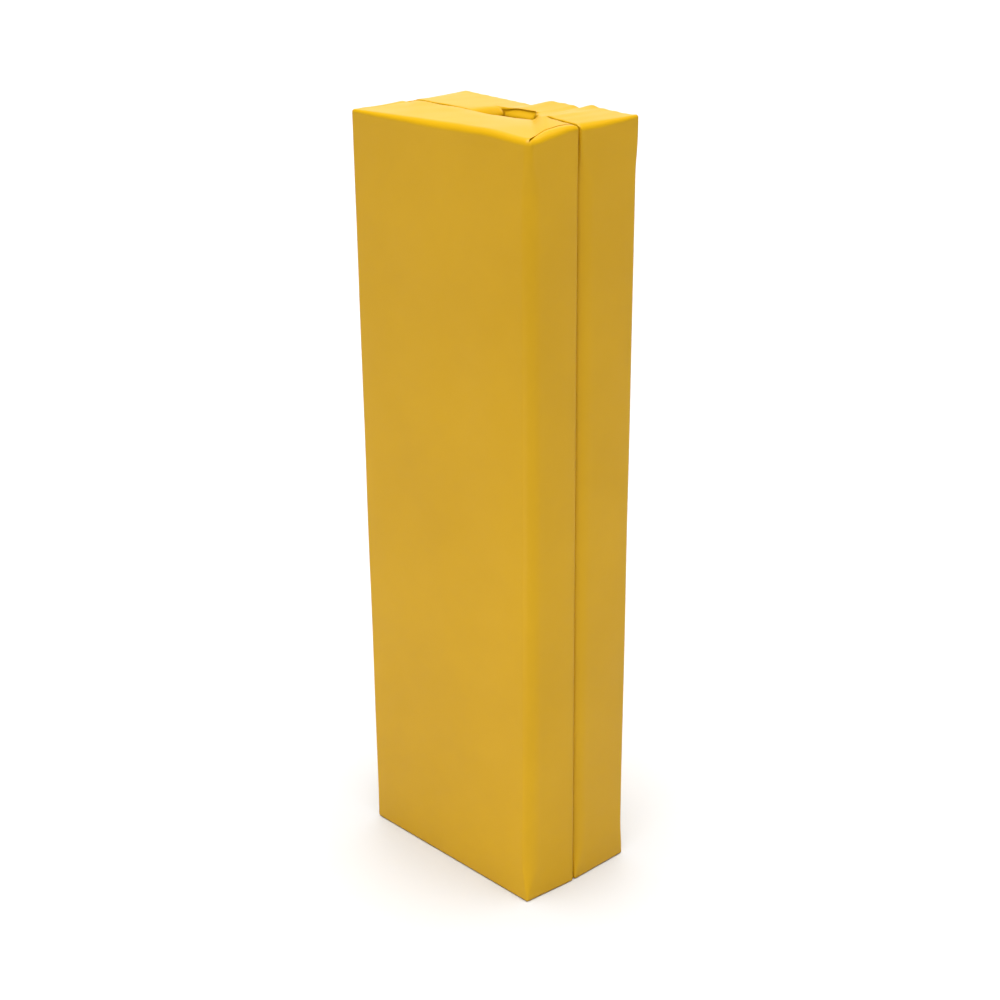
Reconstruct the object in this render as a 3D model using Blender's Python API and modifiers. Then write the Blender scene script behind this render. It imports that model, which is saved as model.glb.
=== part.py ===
"""Padded column protector: two vinyl-covered foam halves that close round a square post.

The rear half holds the post channel between two foam cheeks. The front half is a plain slab
that closes the channel. It swings open on a sewn vinyl hinge strip along the left edge, and a
hook-and-loop strip by the right edge holds it shut.

Frame: metres, +Z up, -Y out of the broad front face, +X out of the closing side. The origin is
the centre of the base. The slit between the halves lies a little in front of the plane y = 0.
"""

import math

import bpy
import bmesh

# Driving dimensions of the closed protector.
WIDTH = 0.330
DEPTH = 0.195
HEIGHT = 1.067
SLIT = 0.003                # between the two mating faces, filled by the hook-and-loop strips
SLIT_Y = -0.009             # middle of the slit; the rear half is the thicker one
CORNER_RADIUS = 0.010       # outer vertical edges
CORNER_STEPS = 6            # flats in a quarter turn of such an edge

# Cover sheet, and the clearance that keeps touching pieces apart.
VINYL = 0.0008
CLEARANCE = 0.0003

# Channel in the rear half, for a post 72 mm wide and 47 mm deep.
CHANNEL_WIDTH = 0.076
CHANNEL_DEPTH = 0.049
CHANNEL_CENTRE_X = 0.017    # towards the closing side

# Folded end of the front half: how far in the side gussets reach at the slit.
GUSSET_REACH = 0.016

# Closure and hinge.
TAPE_WIDTH = 0.050
TAPE_THICKNESS = 0.00105
TAPE_EDGE_INSET = 0.015
TAPE_END_INSET = 0.035
HINGE_LEAF_WIDTH = 0.028
HINGE_LEAF_THICKNESS = 0.0008
HINGE_END_INSET = 0.010
HINGE_LINE_GAP = 0.0002     # from the fold line to each leaf

# Places that follow from the driving dimensions.
HALF_WIDTH = WIDTH / 2
HALF_DEPTH = DEPTH / 2
FRONT_MATING_Y = SLIT_Y - SLIT / 2
REAR_MATING_Y = SLIT_Y + SLIT / 2
SKIN = VINYL + CLEARANCE
CHANNEL_BACK_Y = REAR_MATING_Y + CHANNEL_DEPTH
CHANNEL_LEFT_X = CHANNEL_CENTRE_X - CHANNEL_WIDTH / 2
CHANNEL_RIGHT_X = CHANNEL_CENTRE_X + CHANNEL_WIDTH / 2
HINGE_AXIS_X = -HALF_WIDTH - CLEARANCE - HINGE_LEAF_THICKNESS - CLEARANCE / 2

# Linear colours.
YELLOW_VINYL = (0.78, 0.40, 0.028)
CREAM_FOAM = (0.83, 0.78, 0.62)
YELLOW_TAPE = (0.70, 0.36, 0.03)


# ---------------------------------------------------------------- scene and materials

def clear_scene():
    for obj in list(bpy.data.objects):
        bpy.data.objects.remove(obj, do_unlink=True)


def new_collection(name):
    collection = bpy.data.collections.new(name)
    bpy.context.scene.collection.children.link(collection)
    return collection


def new_material(name, colour, roughness):
    material = bpy.data.materials.new(name)
    material.use_nodes = True
    shader = material.node_tree.nodes["Principled BSDF"]
    shader.inputs["Base Color"].default_value = (*colour, 1.0)
    shader.inputs["Roughness"].default_value = roughness
    shader.inputs["Metallic"].default_value = 0.0
    material.diffuse_color = (*colour, 1.0)
    return material


# ---------------------------------------------------------------- building blocks

def add_to_model(obj, name, material, collection, parent=None):
    """Names the object, gives it its own material and places it under its parent."""
    obj.name = name
    obj.data.name = name
    obj.data.materials.append(material)
    collection.objects.link(obj)
    if parent is not None:
        obj.parent = parent
        obj.matrix_parent_inverse = parent.matrix_world.inverted()
    return obj


def block(low, high):
    """A box between two corners, with its origin at its middle."""
    size = [high[axis] - low[axis] for axis in range(3)]
    mesh = bpy.data.meshes.new("block")
    bm = bmesh.new()
    bmesh.ops.create_cube(bm, size=1.0)
    bmesh.ops.scale(bm, vec=size, verts=bm.verts)
    bm.to_mesh(mesh)
    bm.free()
    obj = bpy.data.objects.new("block", mesh)
    obj.location = [(low[axis] + high[axis]) / 2 for axis in range(3)]
    return obj


def round_vertical_edges(obj, side_y, radius):
    """Marks the vertical edges on one side in y for a Bevel, and adds the modifier."""
    bm = bmesh.new()
    bm.from_mesh(obj.data)
    weights = bm.edges.layers.float.new("bevel_weight_edge")
    for edge in bm.edges:
        first, second = (vert.co for vert in edge.verts)
        is_vertical = abs(first.z - second.z) > 0.5 * HEIGHT
        if is_vertical and first.y * side_y > 0:
            edge[weights] = 1.0
    bm.to_mesh(obj.data)
    bm.free()
    bevel = obj.modifiers.new("round_edges", "BEVEL")
    bevel.limit_method = "WEIGHT"
    bevel.width = radius
    bevel.segments = CORNER_STEPS


def plan_curve(outline, low_z, height, closed):
    """An outline in plan, drawn as a 2D curve and extruded to a height.

    A closed outline gives a filled solid. An open one gives a ribbon that stands on it.
    """
    curve = bpy.data.curves.new("plan", "CURVE")
    curve.dimensions = "2D"
    curve.fill_mode = "BOTH"
    curve.extrude = height / 2
    spline = curve.splines.new("POLY")
    spline.points.add(len(outline) - 1)
    for point, (x, y) in zip(spline.points, outline):
        point.co = (x, y, 0.0, 1.0)
    spline.use_cyclic_u = closed
    obj = bpy.data.objects.new("plan", curve)
    obj.location.z = low_z + height / 2
    return obj


def flat_panel(outline, low_z):
    """A flat sheet of vinyl with the given outline."""
    return plan_curve(outline, low_z, VINYL, closed=True)


def standing_sheet(outline):
    """A sheet of vinyl between the end panels. Its outer face stands on the open outline.

    The sheet's thickness grows to the left of the outline's direction.
    """
    obj = plan_curve(outline, SKIN, HEIGHT - 2 * SKIN, closed=False)
    solidify = obj.modifiers.new("vinyl_thickness", "SOLIDIFY")
    solidify.thickness = VINYL
    solidify.offset = 1.0
    solidify.use_even_offset = True
    return obj


def corner_arc(side_x, side_y, start_degrees, end_degrees):
    """Points along an outer vertical edge's rounding, seen in plan."""
    centre_x = side_x * (HALF_WIDTH - CORNER_RADIUS)
    centre_y = side_y * (HALF_DEPTH - CORNER_RADIUS)
    steps = max(1, round(CORNER_STEPS * abs(end_degrees - start_degrees) / 90))
    points = []
    for step in range(steps + 1):
        angle = math.radians(start_degrees + (end_degrees - start_degrees) * step / steps)
        x = centre_x + CORNER_RADIUS * math.cos(angle)
        y = centre_y + CORNER_RADIUS * math.sin(angle)
        points.append((x, y))
    return points


# ---------------------------------------------------------------- front half

def front_foam_core():
    core = block(
        (-HALF_WIDTH + SKIN, -HALF_DEPTH + SKIN, SKIN),
        (HALF_WIDTH - SKIN, FRONT_MATING_Y - SKIN, HEIGHT - SKIN),
    )
    round_vertical_edges(core, -1, CORNER_RADIUS - SKIN)
    return core


def front_cover_wrap():
    """One sheet over the front and both sides."""
    outline = [(-HALF_WIDTH, FRONT_MATING_Y)]
    outline += corner_arc(-1, -1, 180, 270) + corner_arc(1, -1, 270, 360)
    outline += [(HALF_WIDTH, FRONT_MATING_Y)]
    return standing_sheet(outline)


def front_mating_panel():
    return block(
        (-HALF_WIDTH + SKIN, FRONT_MATING_Y - VINYL, SKIN),
        (HALF_WIDTH - SKIN, FRONT_MATING_Y, HEIGHT - SKIN),
    )


def front_top_panel():
    """The main flap of the folded end, narrower at the slit than at the front."""
    gap_degrees = math.degrees(CLEARANCE / CORNER_RADIUS) / 2
    slit_x = HALF_WIDTH - GUSSET_REACH - CLEARANCE / 2
    outline = corner_arc(-1, -1, 225 + gap_degrees, 270)
    outline += corner_arc(1, -1, 270, 315 - gap_degrees)
    outline += [(slit_x, FRONT_MATING_Y), (-slit_x, FRONT_MATING_Y)]
    return flat_panel(outline, HEIGHT - VINYL)


def front_top_gusset(side):
    """The folded-in strip beside the main flap, from nothing at the corner to full reach."""
    gap_degrees = math.degrees(CLEARANCE / CORNER_RADIUS) / 2
    slit_x = HALF_WIDTH - GUSSET_REACH + CLEARANCE / 2
    right_side = corner_arc(1, -1, 315 + gap_degrees, 360)
    right_side += [(HALF_WIDTH, FRONT_MATING_Y), (slit_x, FRONT_MATING_Y)]
    outline = [(side * x, y) for x, y in right_side]
    return flat_panel(outline, HEIGHT - VINYL)


def front_bottom_panel():
    outline = corner_arc(-1, -1, 180, 270) + corner_arc(1, -1, 270, 360)
    outline += [(HALF_WIDTH, FRONT_MATING_Y), (-HALF_WIDTH, FRONT_MATING_Y)]
    return flat_panel(outline, 0.0)


# ---------------------------------------------------------------- rear half

def rear_foam_back_slab():
    slab = block(
        (-HALF_WIDTH + SKIN, CHANNEL_BACK_Y + SKIN, SKIN),
        (HALF_WIDTH - SKIN, HALF_DEPTH - SKIN, HEIGHT - SKIN),
    )
    round_vertical_edges(slab, 1, CORNER_RADIUS - SKIN)
    return slab


def beside_channel(side):
    """The span in x between the channel's lining and the cover's side, left or right."""
    if side < 0:
        return -HALF_WIDTH + SKIN, CHANNEL_LEFT_X - SKIN
    return CHANNEL_RIGHT_X + SKIN, HALF_WIDTH - SKIN


def rear_foam_cheek(side):
    """The foam beside the post channel, glued to the back slab."""
    low_x, high_x = beside_channel(side)
    return block(
        (low_x, REAR_MATING_Y + SKIN, SKIN),
        (high_x, CHANNEL_BACK_Y + SKIN - CLEARANCE, HEIGHT - SKIN),
    )


def rear_cover_wrap():
    """One sheet over the back and both sides."""
    outline = [(HALF_WIDTH, REAR_MATING_Y)]
    outline += corner_arc(1, 1, 0, 90) + corner_arc(-1, 1, 90, 180)
    outline += [(-HALF_WIDTH, REAR_MATING_Y)]
    return standing_sheet(outline)


def rear_mating_panel(side):
    low_x, high_x = beside_channel(side)
    return block((low_x, REAR_MATING_Y, SKIN), (high_x, REAR_MATING_Y + VINYL, HEIGHT - SKIN))


def channel_outline():
    """The post channel in plan, from its left mouth round its back to its right mouth."""
    return [
        (CHANNEL_LEFT_X, REAR_MATING_Y),
        (CHANNEL_LEFT_X, CHANNEL_BACK_Y),
        (CHANNEL_RIGHT_X, CHANNEL_BACK_Y),
        (CHANNEL_RIGHT_X, REAR_MATING_Y),
    ]


def channel_liner():
    """The vinyl that lines the post channel on three sides."""
    return standing_sheet(channel_outline())


def rear_end_panel(low_z):
    """A flat end of the rear half, notched for the post."""
    outline = [(-HALF_WIDTH, REAR_MATING_Y)] + channel_outline() + [(HALF_WIDTH, REAR_MATING_Y)]
    outline += corner_arc(1, 1, 0, 90) + corner_arc(-1, 1, 90, 180)
    return flat_panel(outline, low_z)


# ---------------------------------------------------------------- closure and hinge

def closure_tape(face_y, direction):
    """One tape of the closure. It stands off a mating face in the given direction along y."""
    near_y = face_y + direction * CLEARANCE
    far_y = near_y + direction * TAPE_THICKNESS
    outer_x = HALF_WIDTH - TAPE_EDGE_INSET
    return block(
        (outer_x - TAPE_WIDTH, min(near_y, far_y), TAPE_END_INSET),
        (outer_x, max(near_y, far_y), HEIGHT - TAPE_END_INSET),
    )


def hinge_leaf(direction):
    """One leaf of the hinge strip, flat on the left side, from the fold line outwards along y."""
    near_y = SLIT_Y + direction * HINGE_LINE_GAP
    far_y = SLIT_Y + direction * HINGE_LEAF_WIDTH
    face_x = -HALF_WIDTH - CLEARANCE
    return block(
        (face_x - HINGE_LEAF_THICKNESS, min(near_y, far_y), HINGE_END_INSET),
        (face_x, max(near_y, far_y), HEIGHT - HINGE_END_INSET),
    )


# ---------------------------------------------------------------- assembly

def build_model():
    clear_scene()
    model = new_collection("column_protector")

    vinyl = (YELLOW_VINYL, 0.42)
    foam = (CREAM_FOAM, 0.95)
    tape = (YELLOW_TAPE, 0.85)

    rear_pieces = [
        ("rear_foam_back_slab", rear_foam_back_slab(), foam),
        ("rear_foam_left_cheek", rear_foam_cheek(-1), foam),
        ("rear_foam_right_cheek", rear_foam_cheek(1), foam),
        ("rear_cover_wrap", rear_cover_wrap(), vinyl),
        ("rear_left_mating_panel", rear_mating_panel(-1), vinyl),
        ("rear_right_mating_panel", rear_mating_panel(1), vinyl),
        ("channel_liner", channel_liner(), vinyl),
        ("rear_top_panel", rear_end_panel(HEIGHT - VINYL), vinyl),
        ("rear_bottom_panel", rear_end_panel(0.0), vinyl),
        ("hook_tape", closure_tape(REAR_MATING_Y, -1), tape),
        ("hinge_rear_leaf", hinge_leaf(1), vinyl),
    ]
    front_pieces = [
        ("front_foam_core", front_foam_core(), foam),
        ("front_cover_wrap", front_cover_wrap(), vinyl),
        ("front_mating_panel", front_mating_panel(), vinyl),
        ("front_top_panel", front_top_panel(), vinyl),
        ("front_top_left_gusset", front_top_gusset(-1), vinyl),
        ("front_top_right_gusset", front_top_gusset(1), vinyl),
        ("front_bottom_panel", front_bottom_panel(), vinyl),
        ("loop_tape", closure_tape(FRONT_MATING_Y, 1), tape),
        ("hinge_front_leaf", hinge_leaf(-1), vinyl),
    ]

    for name, obj, (colour, roughness) in rear_pieces:
        add_to_model(obj, name, new_material(name, colour, roughness), model)

    # The front half turns on the fold line of the hinge strip, just outside the left side.
    front_half = bpy.data.objects.new("front_half", None)
    front_half.location = (HINGE_AXIS_X, SLIT_Y, 0.0)
    model.objects.link(front_half)
    bpy.context.view_layer.update()
    for name, obj, (colour, roughness) in front_pieces:
        add_to_model(obj, name, new_material(name, colour, roughness), model, front_half)


build_model()
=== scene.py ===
import math

import bmesh
import bpy
import numpy as np
from mathutils import Matrix, Vector


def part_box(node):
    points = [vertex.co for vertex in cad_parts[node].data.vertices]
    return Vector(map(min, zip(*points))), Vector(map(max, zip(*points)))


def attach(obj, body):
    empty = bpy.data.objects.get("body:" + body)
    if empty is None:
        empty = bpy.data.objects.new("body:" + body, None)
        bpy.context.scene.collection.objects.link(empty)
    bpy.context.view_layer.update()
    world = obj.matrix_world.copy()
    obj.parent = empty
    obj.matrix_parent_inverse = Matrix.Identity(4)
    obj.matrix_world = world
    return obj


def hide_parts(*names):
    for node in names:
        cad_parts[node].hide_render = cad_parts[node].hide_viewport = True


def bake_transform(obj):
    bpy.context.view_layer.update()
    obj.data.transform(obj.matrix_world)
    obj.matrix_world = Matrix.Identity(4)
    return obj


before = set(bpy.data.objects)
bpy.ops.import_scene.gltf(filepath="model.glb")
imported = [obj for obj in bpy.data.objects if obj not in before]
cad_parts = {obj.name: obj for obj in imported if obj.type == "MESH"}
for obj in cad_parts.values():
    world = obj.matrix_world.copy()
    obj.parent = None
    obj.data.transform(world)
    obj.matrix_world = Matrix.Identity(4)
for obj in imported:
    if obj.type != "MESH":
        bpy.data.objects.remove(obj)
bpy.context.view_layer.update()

# The looks of the padded column protector. Each vinyl piece is a sheet laid out on the flat faces
# of its CAD box, and one function per half then moves the points to where the soft cover lies.

# ---------------------------------------------------------------- places read from the CAD parts

VINYL = 0.0008                      # thickness of the cover sheet

FRONT_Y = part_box("front_cover_wrap")[0].y
FRONT_MATING_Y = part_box("front_cover_wrap")[1].y
REAR_MATING_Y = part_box("rear_cover_wrap")[0].y
BACK_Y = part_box("rear_cover_wrap")[1].y
SLIT_Y = (FRONT_MATING_Y + REAR_MATING_Y) / 2
HALF_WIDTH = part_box("rear_cover_wrap")[1].x
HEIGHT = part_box("rear_top_panel")[1].z
CHANNEL_LEFT_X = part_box("channel_liner")[0].x + VINYL
CHANNEL_RIGHT_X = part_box("channel_liner")[1].x - VINYL
CHANNEL_BACK_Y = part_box("channel_liner")[1].y - VINYL

CHANNEL_DEPTH = CHANNEL_BACK_Y - REAR_MATING_Y
FRONT_BOX = ((-HALF_WIDTH, FRONT_Y, 0.0), (HALF_WIDTH, FRONT_MATING_Y, HEIGHT))
REAR_BOX = ((-HALF_WIDTH, REAR_MATING_Y, 0.0), (HALF_WIDTH, BACK_Y, HEIGHT))

# ---------------------------------------------------------------- soft shape, in metres

MM = 0.001
TINY = 1e-6                         # settles comparisons of places, and divisions by zero

# How far from a box edge its rounding starts.
FOOT_ROUNDING = 3 * MM              # crisp edges round the base
LEAST_REACH = 0.5 * MM              # the rounding along z is never less than this
TOP_ZONE = (70 * MM, 25 * MM)       # below the top, where wall roundings turn into top rolls
FOOT_ZONE = 60 * MM                 # above the floor, where wall roundings shrink to the crisp foot
NEAR_EDGE = (12 * MM, 20 * MM)      # front half's vertical edge by the closing side, in x and y
FRONT_LEFT_EDGE = (4 * MM, 4 * MM)
FRONT_SLIT_EDGE = (4 * MM, 4 * MM)
REAR_SLIT_EDGE = (8 * MM, 22 * MM)  # rear half's vertical edge beside the slit
HINGE_SLIT_EDGE = (2 * MM, 2 * MM)
REAR_OUTER_EDGE = (8 * MM, 8 * MM)
CHANNEL_MOUTH_ROUNDING = 3 * MM
CHANNEL_LEFT_ROLL = 20 * MM
CHANNEL_BACK_ROLL = 1.5 * MM
CHANNEL_RIGHT_ROLL = 8 * MM
LEAST_RIM_ROLL = 1 * MM
RIM_TAIL = 20 * MM                  # the rim's roll dies out this far inside the channel
MOUTH_CORNER = 18 * MM              # the mouth's back right corner is cut across by this much
MOUTH_CORNER_FADE = 60 * MM         # and down to this far below the top
MOUTH_SINK = (5 * MM, 14 * MM)      # the right cheek's top beside the mouth, at the slit and behind
MOUTH_SINK_EDGE = 37 * MM           # where the sunken top ends, along x at the channel's back
MOUTH_SINK_SLANT = 1.05             # and how fast that edge runs out towards the slit
MOUTH_SINK_BLEND = (5 * MM, 4 * MM)  # over which the sunken top rises again, before and past the edge
MOUTH_SINK_START = 8 * MM           # over which it sinks, left of the channel's right wall
# The channel's back wall near the top: (depth below the rim, place along y).
BACK_WALL_PROFILE = ((0.0, 0.0), (1.3 * MM, 0.7 * MM), (11 * MM, -8 * MM), (120 * MM, 0.0))
BACK_WALL_BAND = 1 * MM             # only points this near the back wall move with the profile

# Rounding of the top edges along their length: (place, reach).
FRONT_TOP_ROLL = ((-165 * MM, 4 * MM), (-96 * MM, 6.5 * MM), (0.0, 9 * MM), (108 * MM, 9 * MM),
                  (165 * MM, 9 * MM))
FRONT_RIGHT_ROLL = ((-97 * MM, 9 * MM), (-50 * MM, 9 * MM), (-28 * MM, 7 * MM), (-9 * MM, 4 * MM))
FRONT_LEFT_ROLL = 4 * MM
FRONT_SLIT_ROLL = 2 * MM
REAR_RIGHT_ROLL = ((-9 * MM, 8 * MM), (20 * MM, 8 * MM), (60 * MM, 6 * MM), (97 * MM, 4 * MM))
REAR_LEFT_ROLL = 5 * MM
REAR_BACK_ROLL = 3 * MM
REAR_SLIT_ROLL = 2 * MM

# Height of the top above the CAD's flat top: (place along x, height), level at each point.
FRONT_SLIT_HEIGHTS = ((-165 * MM, 2.2 * MM), (-150 * MM, 2.6 * MM), (-131 * MM, 6.0 * MM),
                      (-87 * MM, 4.9 * MM), (-22 * MM, 3.4 * MM), (17 * MM, 0.9 * MM),
                      (86 * MM, 1.5 * MM), (95 * MM, 6.9 * MM), (106 * MM, 8.4 * MM),
                      (118 * MM, 5.9 * MM), (142 * MM, 3.9 * MM), (165 * MM, 1.6 * MM))
REAR_SLIT_HEIGHTS = ((-165 * MM, 0.5 * MM), (-150 * MM, 2.8 * MM), (-134 * MM, 6.6 * MM),
                     (-91 * MM, 5.6 * MM), (-30 * MM, 3.6 * MM), (20 * MM, 0.0), (84 * MM, 2.0 * MM),
                     (97 * MM, 6.2 * MM), (108 * MM, 8.5 * MM), (125 * MM, 6.4 * MM),
                     (150 * MM, 4.3 * MM), (165 * MM, 2.6 * MM))
REAR_EDGE_HEIGHTS = ((-165 * MM, 3.8 * MM), (-152 * MM, 6.6 * MM), (-116 * MM, 4.6 * MM),
                     (-84 * MM, 2.7 * MM), (-55 * MM, 1.2 * MM), (-22 * MM, -0.8 * MM),
                     (14 * MM, 8.2 * MM), (35 * MM, 7.0 * MM), (48 * MM, 6.4 * MM),
                     (66 * MM, 3.9 * MM), (85 * MM, 9.8 * MM), (101 * MM, 7.0 * MM),
                     (124 * MM, 5.6 * MM), (150 * MM, 4.3 * MM), (165 * MM, 5.0 * MM))
PUCKER_SLANT = 1.05                 # the front half's ridges run this far across per step forwards
FRONT_HEIGHT_FALL = 1.6             # over 1, the heights fall faster near the slit
REAR_HEIGHT_BLEND = 1.4             # over 1, the heights of the slit hold further back
TOP_FADE = 90 * MM                  # the heights fade out over this much of the walls

# Swelling of the faces, and the closing side's lean at the slit.
FRONT_CROWN = 1.6 * MM
SIDE_CROWN = 1.5 * MM
SIDE_REACH = 60 * MM                # from the closing side, where its crown and lean begin
BACK_CROWN = 2.0 * MM
TOP_CROWN = 1.2 * MM
SLIT_LEAN_FOOT = 4.5 * MM           # outwards at the floor
SLIT_LEAN_TOP = -0.5 * MM           # inwards at the top
NEAR_FOOT_TUCK = 2.5 * MM           # the near bottom corner sits inside the box
NEAR_FOOT_RISE = 250 * MM           # up to this height
NEAR_CORNER_DROP = 4.5 * MM         # the top slopes down to the near corner
NEAR_CORNER_SPAN = (0.2, 0.95)      # between these shares of the way from the slit to the front
REAR_FOOT_SHIFT = 4 * MM            # the rear half's bottom corner is pushed out and forwards
REAR_FOOT_RISE = 200 * MM           # up to this height

# Slight irregular waves in the cover: (height, wavelength, seed).
WAVE_COUNT = 6                      # sines in each kind of wave
WAVE_SPREAD = (0.7, 1.5)            # of their wave numbers
FRONT_WAVES = (0.35 * MM, 150 * MM, 3)
BACK_WAVES = (0.5 * MM, 140 * MM, 7)
TOP_WAVES = (0.7 * MM, 60 * MM, 5)
PUCKERS = (0.3 * MM, 26 * MM, 11)   # along the rear outline of the top
GATHERS = (0.7 * MM, 24 * MM, 11)   # at the top of the back
WALL_STRETCH = 0.4                  # waves are longer up a wall than across it
PUCKER_STRETCH = 0.2
GATHER_STRETCH = 0.3
PUCKER_REACH = 22 * MM
GATHER_REACH = 45 * MM

# Fold of the front half's end.
SEAM_INSET = 14 * MM                # from the side to the gusset's seam, at the slit
SEAM_BEND_Y = -52 * MM              # where the seam starts to swing out to the corner
SEAM_SWING = 2.0                    # 1 is a straight seam, more is a bent one
SEAM_DROP_SLIT = 0.7 * MM           # how far the gusset lies below the flap
SEAM_DROP_CORNER = 3.0 * MM
CORNER_DROP_SPAN = (6 * MM, 26 * MM)  # behind the front face, between which the deep drop ends
DROP_BLEND = (-1 * MM, 6 * MM)      # from the seam, between which the drop ends
DROP_SIDE_FADE = 3 * MM             # the drop also fades towards the side
DROP_FRONT_FADE = 2 * MM            # and towards the front
SEAM_UNDERLAP = 3 * MM              # how far the gusset runs on below the flap

# ---------------------------------------------------------------- colours (linear) and stage

VINYL_YELLOW = (0.665, 0.371, 0.0028)
VINYL_DEEP = (0.628, 0.347, 0.0023)
FOAM_CREAM = (0.83, 0.78, 0.62)
FOAM_DEEP = (0.76, 0.70, 0.52)
TAPE_YELLOW = (0.70, 0.36, 0.03)
THREAD_YELLOW = (0.62, 0.33, 0.03)
FLOOR_WHITE = (0.64, 0.64, 0.64)


# ---------------------------------------------------------------- small maths

def mix(first, second, share):
    """The value that lies a share of the way from the first to the second."""
    return first + (second - first) * share


def smooth_step(low, high, value):
    """0 at low and 1 at high, level at both. High may be the smaller number."""
    share = np.clip((value - low) / (high - low), 0.0, 1.0)
    return share * share * (3.0 - 2.0 * share)


def nearness(gap, reach):
    """1 at an edge, falling to 0 at its reach."""
    return np.clip(1.0 - gap / reach, 0.0, 1.0)


def through(points, place):
    """A smooth line through (place, height) points, level at each of them."""
    places = np.array([point[0] for point in points])
    heights = np.array([point[1] for point in points])
    index = np.clip(np.searchsorted(places, place) - 1, 0, len(places) - 2)
    return mix(heights[index], heights[index + 1],
               smooth_step(places[index], places[index + 1], place))


def ripple(kind, first, second):
    """Waves of one kind over two coordinates. They rise and fall by about their kind's height."""
    height, wavelength, seed = kind
    rng = np.random.default_rng(seed)
    total = 0.0
    for _ in range(WAVE_COUNT):
        angle = rng.uniform(0.0, math.pi)
        phase = rng.uniform(0.0, 2 * math.pi)
        number = 2 * math.pi / wavelength * rng.uniform(*WAVE_SPREAD)
        run = first * math.cos(angle) + second * math.sin(angle)
        total = total + np.sin(number * run + phase)
    return height * (total / (0.5 * WAVE_COUNT))


def swell(place, low, high):
    """1 in the middle of a span, falling to 0 at its ends."""
    share = 2.0 * (place - low) / (high - low) - 1.0
    return 1.0 - np.clip(np.abs(share), 0.0, 1.0) ** 3


def graded(start, stop, coarse, fine, start_reach, stop_reach):
    """Places from start to stop, fine within each end's reach and coarse between."""
    first = np.linspace(start, start + start_reach, max(2, round(start_reach / fine) + 1))
    last = np.linspace(stop - stop_reach, stop, max(2, round(stop_reach / fine) + 1))
    inner = stop - stop_reach - start - start_reach
    middle = np.linspace(start + start_reach, stop - stop_reach, max(2, round(inner / coarse) + 1))
    return np.concatenate([first[:-1], middle, last[1:]])


# ---------------------------------------------------------------- where the soft cover lies

def rounded_box(points, box, reaches):
    """Rounds the edges of a box. The reaches give each point's rounding along x, y and z."""
    moved = points.copy()
    near, sides = [], []
    for axis in range(3):
        low, high = box[0][axis], box[1][axis]
        place = points[:, axis]
        sides.append(np.where(place > (low + high) / 2, 1.0, -1.0))
        gap = np.minimum(place - low, high - place)
        near.append(nearness(gap, reaches[axis]))
    for axis in range(3):
        one, other = (near[k] ** 2 for k in range(3) if k != axis)
        kept = np.sqrt(1.0 - one / 2 - other / 2 + one * other / 3)
        moved[:, axis] -= sides[axis] * reaches[axis] * near[axis] * (1.0 - kept)
    return moved


def edge_reaches(points, plan_reach, roll_reach):
    """The rounding's reach along x, y and z, from those of the vertical edges and the top rolls."""
    z = points[:, 2]
    at_top = smooth_step(HEIGHT - TOP_ZONE[0], HEIGHT - TOP_ZONE[1], z)
    above_foot = smooth_step(0.0, FOOT_ZONE, z)
    reach_x = mix(mix(FOOT_ROUNDING, plan_reach[0], above_foot), roll_reach[0], at_top)
    reach_y = mix(mix(FOOT_ROUNDING, plan_reach[1], above_foot), roll_reach[1], at_top)
    return reach_x, reach_y


def vertical_reach(points, box, reach_x, reach_y):
    """The rounding's reach along z: that of whichever side is nearer."""
    x, y, z = points.T
    near_x = nearness(np.minimum(x - box[0][0], box[1][0] - x), reach_x) ** 2
    near_y = nearness(np.minimum(y - box[0][1], box[1][1] - y), reach_y) ** 2
    top = (reach_x * near_x + reach_y * near_y + TINY * MM) / (near_x + near_y + TINY)
    top = np.maximum(top, LEAST_REACH)
    return np.where(z > HEIGHT / 2, top, FOOT_ROUNDING)


def side_lean(y, z):
    """How far the closing side leans out at the slit."""
    reach = np.where(y < SLIT_Y, SLIT_Y - FRONT_Y, BACK_Y - SLIT_Y)
    lean = mix(SLIT_LEAN_FOOT, SLIT_LEAN_TOP, np.clip(z / HEIGHT, 0.0, 1.0))
    return nearness(np.abs(y - SLIT_Y), reach) * lean


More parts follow.
